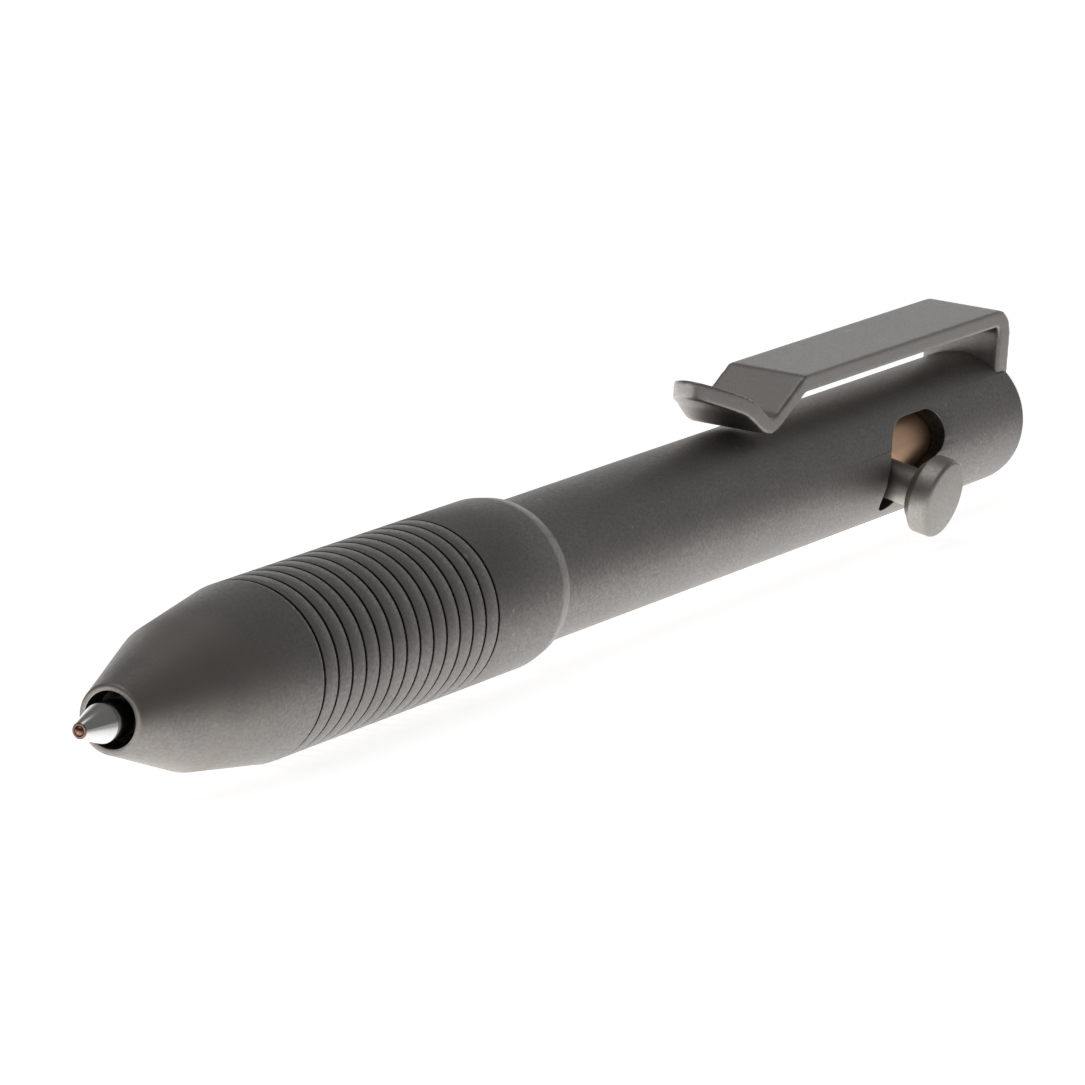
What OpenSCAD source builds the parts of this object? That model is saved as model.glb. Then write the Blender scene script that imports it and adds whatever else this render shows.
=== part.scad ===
/* [Grip section] */
// Length of the steep nose cone, from the nose face back
nose_cone_len = 7.75; // [6:0.25:9]
// Radius where the steep cone meets the shallow one
nose_cone_r = 4.82; // [4.4:0.02:5.2]
// Outer radius of the ring round the nose hole
nose_ring_r = 2.3; // [2.1:0.05:2.6]
// Rounding of the nose ring's outer edge
nose_edge_r = 0.25; // [0.1:0.05:0.3]
// Distance from the nose face to the full width of the grip
grip_front = 15.6; // [14:0.1:17]
// Radius of the grip
grip_r = 5.9; // [5.6:0.05:6.4]
// Distance from the nose face to the grip's rear face, where the barrel starts
grip_end = 48.4; // [46:0.1:52]
// Length of the shallow chamfer at the rear of the grip
rear_chamfer_len = 1.3; // [0.6:0.1:2]
// How much smaller in radius the grip is at its rear edge
rear_chamfer_drop = 0.2; // [0.1:0.05:0.5]
// Number of grooves round the grip
groove_count = 14; // [4:1:16]
// Distance from one groove to the next
groove_pitch = 1.722; // [1.4:0.002:1.9]
// Width of a groove
groove_w = 0.28; // [0.2:0.02:0.5]
// Depth of a groove
groove_depth = 0.35; // [0.2:0.05:0.6]
// Distance from the front of the full grip to the middle of the first groove
groove_inset = 0.42; // [0.4:0.02:1]

/* [Nose hole] */
// Radius of the recess in the nose face
nose_recess_r = 1.83; // [1.7:0.01:1.95]
// Depth of the recess in the nose face
nose_recess_depth = 1.8; // [1:0.1:2.4]
// Depth at which the spring's front seat lies
spring_seat = 4.5; // [4:0.1:5]
// Radius of the spring's chamber
spring_room_r = 2.65; // [2.55:0.05:2.8]

/* [Barrel] */
// Radius of the barrel
barrel_r = 5; // [4.9:0.05:5.3]
// Radius of the barrel's bore
bore_r = 3.8; // [3.6:0.05:3.85]
// Rounding of the barrel's tail edge
tail_edge_r = 0.8; // [0.3:0.1:1]
// Thickness of the solid wall that closes the tail
tail_wall = 6.6; // [6:0.1:8]

/* [Screwed joint] */
// Length of the threaded spigot behind the grip
spigot_len = 8; // [7:0.25:10]
// Crest radius of the spigot's thread
thread_r = 4.2; // [4.15:0.01:4.3]
// Pitch of the thread
thread_pitch = 0.75; // [0.5:0.05:1]
// Depth of the thread
thread_depth = 0.3; // [0.2:0.02:0.36]
// Length of the plain neck that holds the seal, before the thread
seal_neck_len = 2; // [1.6:0.1:2.4]
// Radius of the seal's round section
seal_section_r = 0.3; // [0.25:0.01:0.33]

/* [Bolt and slot] */
// Distance from the refill's crown back to the bolt's stem
stem_behind_crown = 5; // [4:0.1:7]
// How far the bolt, the plunger and the refill travel
stroke = 6; // [5:0.1:7]
// Turn from the clip to the run of the slot along the pen, in degrees
slot_run_angle = 67; // [64:0.5:70]
// Turn of the bolt from the run of the slot to where it locks, in degrees
lock_turn = 33; // [31:0.5:35]
// How far the slot goes on past the locked bolt, in degrees
slot_overrun = 9; // [6:0.5:12]
// Radius of the stem
stem_r = 1.43; // [1.3:0.01:1.45]
// Gap between the stem and each side of the slot
slot_gap = 0.22; // [0.15:0.01:0.25]
// Radius of the knob
knob_r = 2.9; // [2.6:0.05:3.2]
// Distance from the pen's axis to the knob's outer face
knob_face_r = 8.84; // [8.6:0.02:9.2]
// Thickness of the knob
knob_t = 2.2; // [1.4:0.05:2.4]
// Radius of the bolt's threaded end in the plunger
stem_thread_r = 1.15; // [1:0.05:1.2]

/* [Plunger] */
// Running gap between the plunger and the bore
plunger_gap = 0.05; // [0.03:0.01:0.08]
// Length of the plunger
plunger_len = 14; // [12:0.1:16]
// Room behind the plunger when the point is in
plunger_back_gap = 0.55; // [0.3:0.05:2]
// Depth of the cup in its front that takes the refill's crown
cup_depth = 1; // [0.6:0.1:1.4]

/* [Clip] */
// Width of the clip
clip_w = 6.2; // [5.4:0.1:6.6]
// Thickness of the clip's spring arm
clip_t = 1.25; // [1.1:0.05:1.5]
// Distance from the pen's axis to the clip's top face
clip_top = 8.6; // [8.3:0.05:9.1]
// Thickness of the clip's leg
clip_leg_t = 1.9; // [1.6:0.1:2]
// Distance from the tail face to the bend at the clip's front
clip_reach = 33.6; // [30:0.1:36]
// Distance from the front bend to the low point that grips a pocket
clip_ramp = 5.1; // [4.8:0.1:5.8]
// Length of the turned-up lip in front of the low point
clip_lip = 7; // [6.6:0.1:8]
// Gap between the low point and the barrel
clip_nip = 0.15; // [0.1:0.05:0.5]
// Inner radius of the clip's bends
clip_bend_r = 0.6; // [0.4:0.1:0.8]
// Inner radius of the wider bend at the low point
clip_low_bend_r = 1.7; // [1:0.1:1.9]
// Rounding of the clip's outer corner over the tail
clip_corner_r = 2.2; // [1:0.1:2.4]
// Crest radius of the clip screw's thread
clip_screw_r = 1; // [0.9:0.05:1]
// Length of the clip screw
clip_screw_len = 5; // [4.6:0.1:5]

/* [Refill] */
// Length of the refill, point to crown
refill_len = 98.1; // [96:0.1:100]
// How far the point stands out of the nose in use
point_out = 3.7; // [3:0.1:4]
// Radius of the refill's tube
refill_r = 2.95; // [2.85:0.01:3]
// Wall of the refill's tube
refill_wall = 0.35; // [0.25:0.05:0.45]
// Distance from the ball to the shoulder that the spring pushes on
shoulder_back = 16.2; // [15.8:0.1:16.6]
// Radius of the refill's neck
neck_r = 1.6; // [1.5:0.05:1.7]
// Distance from the ball to where the neck starts
neck_back = 9.3; // [9:0.1:9.8]
// Radius of the parallel part of the point
point_r = 1.27; // [1.2:0.01:1.3]
// Length of the point's cone
point_cone_len = 2.4; // [2:0.1:2.8]
// Radius of the point's rim, round the ball
point_rim_r = 0.5; // [0.47:0.01:0.55]
// Radius of the writing ball
ball_r = 0.35; // [0.25:0.05:0.35]
// Length of the ink in a new refill
ink_len = 58; // [10:1:65]

/* [Spring] */
// Number of turns of the spring
spring_turns = 7; // [5:1:7]
// Radius of the spring's wire
spring_wire_r = 0.2; // [0.15:0.01:0.2]
// Radius of the middle of the spring's turns
spring_r = 2.15; // [2.1:0.01:2.2]

/* [Hidden] */
$fn = 72;

// Clearances
fit_gap = 0.05;     // between pieces that are screwed together
press_gap = 0.01;   // between pieces that are pressed together
guide_gap = 0.06;   // round the refill's point in the nose
passage_gap = 0.12; // round the stem on its slanting way between the slot's two ends
spring_gap = 0.02;  // between the spring's ends and their seats
cut = 0.5;          // how far a cutter goes past a face

// Grip and nose
grip_middle = (grip_front + grip_end - rear_chamfer_len) / 2;
refill_bore_r = refill_r + 0.25;
guide_r = point_r + guide_gap;
recess_floor_slope = 0.2;
chamber_room = 0.5;

// Screwed joint between the grip and the barrel
root_r = thread_r - thread_depth;
thread_lead = 0.2;
mouth_edge = 0.15;
spigot_room = 0.5;
thread_end_gap = 0.3;
seal_land = 0.5;
seal_groove_w = 2 * seal_section_r + 0.3;
seal_floor_r = thread_r + fit_gap - 2 * (seal_section_r + press_gap);
thread_turns = floor((spigot_len - seal_neck_len - thread_end_gap) / thread_pitch);
thread_start = grip_end + seal_neck_len;

// Refill, from the ball's front back
point_x = -point_out;
crown_x = point_x + refill_len;
neck_x = point_x + neck_back;
shoulder_x = point_x + shoulder_back;
shoulder_t = 1;
tube_x = shoulder_x + shoulder_t;
crown_len = 3;
tube_end = crown_x - crown_len;
tube_inner_r = refill_r - refill_wall;
plug_r = tube_inner_r - press_gap;
plug_len = 2.5;
ball_x = point_x + ball_r;
ball_grip = 0.55;     // how far in front of the ball's middle the rim lies, as a share of its radius
ball_gap = 0.02;
rim_x = ball_x - ball_grip * ball_r;
ink_r = 0.3;
ink_hole_r = 0.6;
point_tail = 3.5;
point_tail_r = point_r - 0.1;
neck_edge = 0.3;
neck_wall = 0.1;
shoulder_edge = 0.1;
crown_edge = 0.4;
vent_r = 0.5;
vent_slots = 6;
vent_slot_w = 0.7;
vent_slot_len = 1.6;
vent_slot_depth = 0.8;

// Slot: the cutter is as wide as the stem with its gaps, and the stem rests on the rear edge
stem_x = crown_x + stem_behind_crown;
slot_r = stem_r + slot_gap;
slot_front = stem_x - slot_gap;
slot_rear = stem_x + stroke;
lock_angle = slot_run_angle + lock_turn;
slot_end_angle = lock_angle + slot_overrun;

// Plunger and knob
plunger_r = bore_r - plunger_gap;
cup_gap = 0.15;
cup_r = refill_r + cup_gap;
plunger_x = crown_x + fit_gap - cup_depth;
plunger_edge = 0.3;
stem_seat_r = plunger_r - 0.4;
stem_thread_len = 5;
stem_end_gap = 0.3;
stem_end_edge = 0.2;
knob_edge = 0.3;
knob_cone = 0.7;
knob_under_r = 2.1;

// Bore's end, tail and clip seat
bore_end = plunger_x + plunger_len + stroke + plunger_back_gap;
tail_x = bore_end + tail_wall;
leg_x = tail_x - clip_leg_t;
screw_head_t = 0.9;
screw_head_r = clip_screw_r + screw_head_t;
screw_sink = 0.05;
screw_end_edge = 0.2;
screw_hole_gap = 0.1;
tap_room = 0.5;
screw_socket_r = 0.73;
screw_socket_depth = 0.6;

// How the pen lies: on the grip's rear edge, the tail's lower edge and the knob's rim
axis_drop = (grip_r - barrel_r) * (stem_x - grip_end) / (tail_x - grip_end);
knob_axis_h = grip_r - axis_drop;
knob_reach = norm([knob_face_r, knob_r]);
knob_dip = asin(knob_axis_h / knob_reach) - atan(knob_r / knob_face_r);
clip_lean = 90 + knob_dip - lock_angle;

// Corner points of the clip's underside, from the lip to the leg, seen from the side
clip_under = clip_top - clip_t;
clip_front_x = tail_x - clip_reach;
clip_low_x = clip_front_x - clip_ramp;
clip_low = barrel_r + clip_nip;
lip_end = 3.6;
lip_slope = 34;
lip_end_slope = 20;
low_r = clip_low_bend_r + clip_t;
low_point = [clip_low_x, low_corner(clip_low)];
lip_mid = low_point + (clip_lip - lip_end) * [-1, tan(lip_slope)];
lip_tip = lip_mid + lip_end * [-1, tan(lip_end_slope)];
front_under = [clip_front_x, clip_under];
leg_under = [leg_x, clip_under];
lip_bend_r = 4;

// Height of the low point's sharp corner, which lies below its bend: a guess made closer in a few steps
function low_corner(y, steps = 6) = steps == 0 ? y :
    let (turn = lip_slope + atan((clip_under - y) / clip_ramp))
    low_corner(clip_low - low_r * (1 / cos(turn / 2) - 1), steps - 1);

function unit(v) = v / norm(v);
function left(v) = [-v.y, v.x];

// The corner b between a and c, moved out by t on the left
function mitre(a, b, c, t) =
    let (m = unit(left(b - a)), n = unit(left(c - b)))
    b + t * (m + n) / (1 + m * n);

// Points of an arc of radius r that rounds the corner b between a and c
function bend(a, b, c, r, steps = 8) =
    let (u = unit(a - b), v = unit(c - b), half = acos(u * v) / 2,
         middle = b + unit(u + v) * r / sin(half),
         from = b + u * r / tan(half) - middle,
         side = sign(u.x * v.y - u.y * v.x),
         sweep = -side * (180 - 2 * half))
    [for (i = [0 : steps]) let (t = sweep * i / steps)
        middle + [from.x * cos(t) - from.y * sin(t), from.x * sin(t) + from.y * cos(t)]];

// Lays what is modelled from the nose face, along +X with the clip straight up, as the pen lies
module laid() {
    translate([-grip_middle, 0, 0]) rotate([clip_lean, 0, 0]) children();
}

// Turns an outline of [distance along the pen, radius] round the pen's axis
module turned(outline) {
    rotate([0, 90, 0]) rotate([0, 0, 90]) rotate_extrude() polygon([for (p = outline) [p.y, p.x]]);
}

// A cylinder along the pen from one distance to another
module along(from, to, r) {
    translate([from, 0, 0]) rotate([0, 90, 0]) cylinder(h = to - from, r = r);
}

// A cylinder that points out of the pen's axis at a distance and a turn from the clip
module outward(x, angle, from, to, r) {
    translate([x, 0, 0]) rotate([angle, 0, 0]) translate([0, 0, from]) cylinder(h = to - from, r = r);
}

// Outline of the thread's flanks, the same on both pieces but for the clearance
function thread(from, crest, root) = [
    for (i = [0 : thread_turns - 1]) each
        [[from + i * thread_pitch, root], [from + (i + 0.5) * thread_pitch, crest]],
    [from + thread_turns * thread_pitch, root]];

module grip_section() {
    ring_start = nose_ring_r - nose_edge_r;
    first_groove = grip_front + groove_inset;
    outer = concat(
        [[0, ring_start]],
        [for (t = [30, 60, 90]) [nose_edge_r * (1 - cos(t)), ring_start + nose_edge_r * sin(t)]],
        [[nose_cone_len, nose_cone_r], [grip_front, grip_r]],
        [for (i = [0 : groove_count - 1]) each let (x = first_groove + i * groove_pitch) [
            [x - groove_w / 2, grip_r], [x - groove_w / 2, grip_r - groove_depth],
            [x + groove_w / 2, grip_r - groove_depth], [x + groove_w / 2, grip_r]]],
        [[grip_end - rear_chamfer_len, grip_r], [grip_end, grip_r - rear_chamfer_drop]]);
    spigot = concat(
        [[grip_end, thread_r], [grip_end + seal_land, thread_r],
         [grip_end + seal_land, seal_floor_r], [grip_end + seal_land + seal_groove_w, seal_floor_r],
         [grip_end + seal_land + seal_groove_w, root_r]],
        thread(thread_start, thread_r, root_r),
        [[grip_end + spigot_len - thread_lead, root_r], [grip_end + spigot_len, root_r - thread_lead]]);
    inner = [
        [grip_end + spigot_len, refill_bore_r], [shoulder_x - chamber_room, refill_bore_r],
        [shoulder_x - chamber_room, spring_room_r], [spring_seat, spring_room_r], [spring_seat, guide_r],
        [nose_recess_depth + recess_floor_slope, guide_r], [nose_recess_depth, nose_recess_r],
        [0, nose_recess_r]];
    color([0.33, 0.31, 0.30]) laid() turned(concat(outer, spigot, inner));
}

module thread_seal() {
    middle_x = grip_end + seal_land + seal_groove_w / 2;
    middle_r = seal_floor_r + seal_section_r + press_gap;
    color([0.06, 0.06, 0.06]) laid()
        translate([middle_x, 0, 0]) rotate([0, 90, 0])
            rotate_extrude() translate([middle_r, 0]) circle(r = seal_section_r, $fn = 24);
}

// What the cutter takes out of the barrel's wall for the stem
module bolt_slot() {
    inside = bore_r - 2 * cut;
    outside = barrel_r + cut;
    outward(slot_front, slot_run_angle, inside, outside, slot_r);
    outward(slot_rear, slot_run_angle, inside, outside, slot_r);
    outward(slot_front, slot_end_angle, inside, outside, slot_r);
    hull() {
        outward(stem_x, lock_angle, inside, outside, stem_r + passage_gap, $fn = 32);
        outward(slot_rear, slot_run_angle, inside, outside, stem_r + passage_gap, $fn = 32);
    }
    rotate([slot_run_angle, 0, 0]) translate([slot_front, -slot_r, inside])
        cube([slot_rear - slot_front, 2 * slot_r, outside - inside]);
    translate([slot_front - slot_r, 0, 0]) rotate([slot_run_angle, 0, 0]) rotate([0, 90, 0])
        rotate([0, 0, 180]) rotate_extrude(angle = slot_end_angle - slot_run_angle)
            translate([inside, 0]) square([outside - inside, 2 * slot_r]);
}

module barrel() {
    mouth_end = grip_end + seal_land + seal_groove_w + fit_gap;
    thread_end = grip_end + spigot_len + spigot_room;
    flanks = thread(thread_start, thread_r + fit_gap, root_r + fit_gap);
    outer = concat(
        [[grip_end, barrel_r - mouth_edge], [grip_end + mouth_edge, barrel_r]],
        [for (t = [0 : 15 : 90])
            [tail_x - tail_edge_r * (1 - sin(t)), barrel_r - tail_edge_r * (1 - cos(t))]]);
    inner = concat(
        [[tail_x, 0], [bore_end, 0], [bore_end, bore_r], [thread_end, bore_r],
         [thread_end, root_r + fit_gap]],
        [for (i = [len(flanks) - 1 : -1 : 0]) flanks[i]],
        [[mouth_end, root_r + fit_gap], [mouth_end, thread_r + fit_gap], [grip_end, thread_r + fit_gap]]);
    color([0.33, 0.31, 0.30]) laid() difference() {
        turned(concat(outer, inner));
        bolt_slot();
        clip_seat();
        along(tail_x - clip_screw_len - tap_room, tail_x, clip_screw_r + fit_gap);
    }
}

// The notch in the tail that takes the clip's leg and its round foot
module clip_seat() {
    w = clip_w + 2 * fit_gap;
    translate([leg_x, -w / 2, 0]) cube([clip_leg_t + cut, w, barrel_r + cut]);
    along(leg_x, tail_x + cut, w / 2);
}

module clip() {
    front_top = mitre(low_point, front_under, leg_under, clip_t);
    low_top = mitre(lip_mid, low_point, front_under, clip_t);
    lip_mid_top = mitre(lip_tip, lip_mid, low_point, clip_t);
    lip_tip_top = lip_tip + clip_t * unit(left(lip_mid - lip_tip));
    outline = concat(
        [lip_tip],
        bend(lip_tip, lip_mid, low_point, lip_bend_r),
        bend(lip_mid, low_point, front_under, low_r),
        bend(low_point, front_under, leg_under, clip_bend_r),
        bend(front_under, leg_under, [leg_x, 0], clip_bend_r),
        [[leg_x, 0], [tail_x, 0]],
        bend([tail_x, 0], [tail_x, clip_top], front_top, clip_corner_r),
        bend([tail_x, clip_top], front_top, low_top, clip_bend_r),
        bend(front_top, low_top, lip_mid_top, clip_low_bend_r),
        bend(low_top, lip_mid_top, lip_tip_top, lip_bend_r + clip_t),
        [lip_tip_top]);
    lip_centre = lip_tip.x + clip_w / 2;
    above = clip_top + clip_t + cut;
    color([0.55, 0.53, 0.50]) laid() difference() {
        union() {
            intersection() {
                rotate([90, 0, 0]) linear_extrude(clip_w, center = true) polygon(outline);
                union() {
                    translate([lip_centre, 0, 0]) cylinder(h = above, r = clip_w / 2);
                    translate([lip_centre, -clip_w / 2, 0]) cube([tail_x - lip_centre, clip_w, above]);
                }
            }
            along(leg_x, tail_x, clip_w / 2);
        }
        along(leg_x - cut, tail_x + cut, clip_screw_r + screw_hole_gap);
        turned([[tail_x - screw_head_t - fit_gap, 0], [tail_x - screw_head_t - fit_gap, clip_screw_r],
                [tail_x + cut, screw_head_r + fit_gap + cut], [tail_x + cut, 0]]);
    }
}

module clip_screw() {
    color([0.55, 0.55, 0.56]) laid() difference() {
        turned([[tail_x - clip_screw_len, 0], [tail_x - clip_screw_len, clip_screw_r - screw_end_edge],
                [tail_x - clip_screw_len + screw_end_edge, clip_screw_r],
                [tail_x - screw_head_t, clip_screw_r],
                [tail_x - screw_sink, screw_head_r - screw_sink], [tail_x - screw_sink, 0]]);
        translate([tail_x - screw_socket_depth, 0, 0]) rotate([0, 90, 0])
            cylinder(h = screw_socket_depth + cut, r = screw_socket_r, $fn = 6);
    }
}

module plunger() {
    color([0.62, 0.42, 0.27]) laid() difference() {
        turned([[plunger_x, 0], [plunger_x, plunger_r - plunger_edge],
                [plunger_x + plunger_edge, plunger_r],
                [plunger_x + plunger_len - plunger_edge, plunger_r],
                [plunger_x + plunger_len, plunger_r - plunger_edge], [plunger_x + plunger_len, 0]]);
        along(plunger_x - cut, plunger_x + cup_depth, cup_r);
        outward(stem_x, lock_angle, stem_seat_r, plunger_r + cut, stem_r + fit_gap);
        outward(stem_x, lock_angle, stem_seat_r - stem_thread_len, plunger_r, stem_thread_r + fit_gap);
    }
}

// Stem and knob turned in one piece, screwed into the plunger up to the stem's shoulder
module bolt_knob() {
    under = knob_face_r - knob_t;
    stem_end = stem_seat_r - stem_thread_len + stem_end_gap;
    outline = [
        [0, stem_end], [stem_thread_r - stem_end_edge, stem_end],
        [stem_thread_r, stem_end + stem_end_edge], [stem_thread_r, stem_seat_r],
        [stem_r, stem_seat_r], [stem_r, under], [knob_under_r, under], [knob_r, under + knob_cone],
        [knob_r, knob_face_r - knob_edge], [knob_r - knob_edge, knob_face_r], [0, knob_face_r]];
    color([0.60, 0.59, 0.56]) laid()
        translate([stem_x, 0, 0]) rotate([lock_angle, 0, 0]) rotate_extrude() polygon(outline);
}

module point_ball() {
    color([0.35, 0.35, 0.37]) laid() translate([ball_x, 0, 0]) sphere(r = ball_r, $fn = 32);
}

// Steel point: the lip closes in over the ball, and the ink comes through the middle
module point_socket() {
    tail = neck_x + point_tail;
    seat_r = ball_r + ball_gap;
    lip_turn = acos((ball_x - rim_x) / seat_r);
    back_turn = 180 - asin(ink_r / seat_r);
    color([0.72, 0.70, 0.67]) laid() turned(concat(
        [[rim_x, point_rim_r], [rim_x + point_cone_len, point_r], [neck_x, point_r],
         [neck_x, point_tail_r], [tail, point_tail_r], [tail, ink_r]],
        [for (i = [8 : -1 : 0]) let (t = lip_turn + (back_turn - lip_turn) * i / 8)
            [ball_x - seat_r * cos(t), seat_r * sin(t)]]));
}

module refill_neck() {
    color([0.70, 0.58, 0.36]) laid() difference() {
        turned([[neck_x, 0], [neck_x, point_r + neck_wall], [neck_x + neck_edge, neck_r],
                [shoulder_x, neck_r], [shoulder_x, refill_r - shoulder_edge],
                [shoulder_x + shoulder_edge, refill_r], [tube_x, refill_r],
                [tube_x, plug_r], [tube_x + plug_len, plug_r], [tube_x + plug_len, 0]]);
        along(neck_x - cut, neck_x + point_tail + fit_gap, point_tail_r + press_gap);
        along(neck_x, tube_x + plug_len + cut, ink_hole_r);
    }
}

module refill_tube() {
    color([0.66, 0.66, 0.68]) laid() turned([[tube_x, tube_inner_r], [tube_x, refill_r],
        [tube_end, refill_r], [tube_end, tube_inner_r]]);
}

// Plastic end plug, with ribs that let air in behind the ink
module refill_crown() {
    color([0.10, 0.10, 0.11]) laid() difference() {
        turned([[tube_end - plug_len, 0], [tube_end - plug_len, plug_r], [tube_end, plug_r],
                [tube_end, refill_r], [crown_x - crown_edge, refill_r],
                [crown_x, refill_r - crown_edge], [crown_x, 0]]);
        along(tube_end - plug_len - cut, crown_x + cut, vent_r);
        for (i = [0 : vent_slots - 1]) rotate([i * 360 / vent_slots, 0, 0])
            translate([crown_x - vent_slot_len, -vent_slot_w / 2, refill_r - vent_slot_depth])
                cube([vent_slot_len + cut, vent_slot_w, vent_slot_depth + cut]);
    }
}

module ink_column() {
    color([0.05, 0.06, 0.20]) laid() along(tube_x + plug_len, tube_x + plug_len + ink_len, plug_r);
}

// Points round the wire at one station of the spring, square to the way that the wire runs
wire_sides = 6;
function wire_ring(middle, way, out) =
    let (across = cross(way, out))
    [for (k = [0 : wire_sides - 1]) let (t = 360 * k / wire_sides)
        middle + spring_wire_r * (cos(t) * out + sin(t) * across)];

module return_spring() {
    rings_per_turn = 8;
    lead = 2 * spring_wire_r;
    from = spring_seat + spring_gap;
    to = shoulder_x - spring_gap;
    rings = spring_turns * rings_per_turn;
    rise = (to - from - 2 * lead) / rings;
    step = 360 / rings_per_turn;
    way = unit([rise, 2 * PI * spring_r / rings_per_turn]);
    function out(i) = [0, cos(step * i), sin(step * i)];
    function round_way(i) = [0, -sin(step * i), cos(step * i)];
    function at(i) = [from + lead + rise * i, 0, 0] + spring_r * out(i);
    stations = concat(
        [wire_ring(at(0) - [lead, 0, 0], [1, 0, 0], out(0))],
        [for (i = [0 : rings]) wire_ring(at(i),
            i == 0 || i == rings ? unit([1, 0, 0] + round_way(i))
                                 : [way.x, 0, 0] + way.y * round_way(i), out(i))],
        [wire_ring(at(rings) + [lead, 0, 0], [1, 0, 0], out(rings))]);
    last = len(stations) - 1;
    n = wire_sides;
    sides = [for (j = [0 : last - 1]) for (k = [0 : n - 1]) let (a = n * j + k, b = n * j + (k + 1) % n)
        each [[a, a + n, b], [b, a + n, b + n]]];
    ends = concat([for (k = [1 : n - 2]) [0, k, k + 1]],
                  [for (k = [1 : n - 2]) [n * last, n * last + k + 1, n * last + k]]);
    echo("least gap between turns", rise * rings_per_turn - 2 * spring_wire_r);
    color([0.62, 0.62, 0.64]) laid()
        polyhedron(points = [for (s = stations) each s], faces = concat(sides, ends));
}

grip_section();
thread_seal();
barrel();
clip();
clip_screw();
plunger();
bolt_knob();
point_ball();
point_socket();
refill_neck();
refill_tube();
refill_crown();
ink_column();
return_spring();
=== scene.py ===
# %% [markdown]
# # Dressing a bolt-action pen
#
# The pen comes in as a frame of exact solids: every piece has its real size and
# its place. This lesson gives them the finish of the real ones, with rounded
# edges, worn lips and worked metal, and lights them as a small studio would. Most
# pieces that show are modelled again, so that their edges can be rounded, and so
# is the spring, as a wound wire. The rest keep their solids and take a
# material.

# %% Load the frame
from math import acos, asin, atan, cos, degrees, hypot, pi, radians, sin, tan

import bpy
from mathutils import Matrix, Vector


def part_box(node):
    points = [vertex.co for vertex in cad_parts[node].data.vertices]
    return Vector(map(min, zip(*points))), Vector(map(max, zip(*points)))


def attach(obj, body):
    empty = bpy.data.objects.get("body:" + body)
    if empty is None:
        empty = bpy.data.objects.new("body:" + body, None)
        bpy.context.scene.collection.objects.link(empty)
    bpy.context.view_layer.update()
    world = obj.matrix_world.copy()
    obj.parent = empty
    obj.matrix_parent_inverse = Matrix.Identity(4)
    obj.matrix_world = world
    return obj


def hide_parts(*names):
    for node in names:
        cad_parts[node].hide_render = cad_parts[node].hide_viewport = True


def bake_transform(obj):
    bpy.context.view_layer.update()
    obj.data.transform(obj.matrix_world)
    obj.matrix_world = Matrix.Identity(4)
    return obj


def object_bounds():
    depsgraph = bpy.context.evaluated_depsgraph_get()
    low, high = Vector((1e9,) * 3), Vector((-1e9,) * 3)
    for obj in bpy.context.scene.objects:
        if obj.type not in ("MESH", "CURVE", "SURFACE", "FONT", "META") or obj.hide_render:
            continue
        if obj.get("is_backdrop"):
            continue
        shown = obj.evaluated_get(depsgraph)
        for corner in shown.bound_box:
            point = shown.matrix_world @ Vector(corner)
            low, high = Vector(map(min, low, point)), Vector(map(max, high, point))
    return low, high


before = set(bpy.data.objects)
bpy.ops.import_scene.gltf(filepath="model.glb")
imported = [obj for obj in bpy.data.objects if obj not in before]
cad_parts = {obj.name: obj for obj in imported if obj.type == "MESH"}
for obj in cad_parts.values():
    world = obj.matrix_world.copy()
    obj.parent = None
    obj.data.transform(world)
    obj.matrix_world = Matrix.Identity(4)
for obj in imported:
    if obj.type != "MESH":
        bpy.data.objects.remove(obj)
cad_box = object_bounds()
MM = 0.001
print("nodes:", ", ".join(sorted(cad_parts)))
print("size in mm:", [round((high - low) / MM, 2) for low, high in zip(*cad_box)])

# %% [markdown]
# ## The camera
#
# The photograph looks along the pen from its nose, from half a metre away and
# a little above, through a long lens. A camera could be aimed at a target with a
# constraint. Here its place and two directions are given instead, because they
# also hold the slight roll of the picture.

# %% Camera
camera_place = Vector((-422.88, -247.60, 94.48)) * MM
looks_along = Vector((0.86043, 0.47705, -0.17910)).normalized()
picture_up = Vector((0.16973, 0.06308, 0.98347))
lens_mm = 256.48
sensor_mm = 36
nearest_seen = 0.02

bpy.ops.object.camera_add(location=camera_place)
camera = bpy.context.object
camera.name = "camera"
across = looks_along.cross(picture_up).normalized()
axes = Matrix((across, across.cross(looks_along), -looks_along)).transposed()
camera.rotation_euler = axes.to_euler()
camera.data.lens = lens_mm
camera.data.sensor_width = sensor_mm
camera.data.clip_start = nearest_seen
bpy.context.scene.camera = camera
print("camera is", round(camera_place.length / MM), "mm from the middle of the grip")

# %% [markdown]
# ## Where things are
#
# All pieces of a turned pen share one axis. So each place is written as a
# distance from the nose face, a distance from the axis, and a turn from the clip,
# in millimetres and degrees, as someone at a lathe would. One function takes
# these to the row frame, in which the pen lies with its clip leaning over. The
# lean follows from what the pen rests on: the grip, the tail and the knob's rim.

# %% Main sizes and the way the pen lies
nose_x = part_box("grip_section")[0].x
grip_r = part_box("grip_section")[1].z / MM
barrel_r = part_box("barrel")[1].y / MM
grip_end = (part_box("barrel")[0].x - nose_x) / MM
tail_x = (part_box("barrel")[1].x - nose_x) / MM

stem_x = 99.4
stroke = 6
slot_run_angle, lock_turn = 67, 33
lock_angle = slot_run_angle + lock_turn
knob_face_r = 8.84
knob_r = 2.9

axis_drop = (grip_r - barrel_r) * (stem_x - grip_end) / (tail_x - grip_end)
knob_dip = degrees(asin((grip_r - axis_drop) / hypot(knob_face_r, knob_r)) - atan(knob_r / knob_face_r))
clip_lean = 90 + knob_dip - lock_angle


def outward(angle):
    """The direction out of the axis at a turn from the clip."""
    turn = radians(angle + clip_lean)
    return Vector((0, -sin(turn), cos(turn)))


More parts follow.
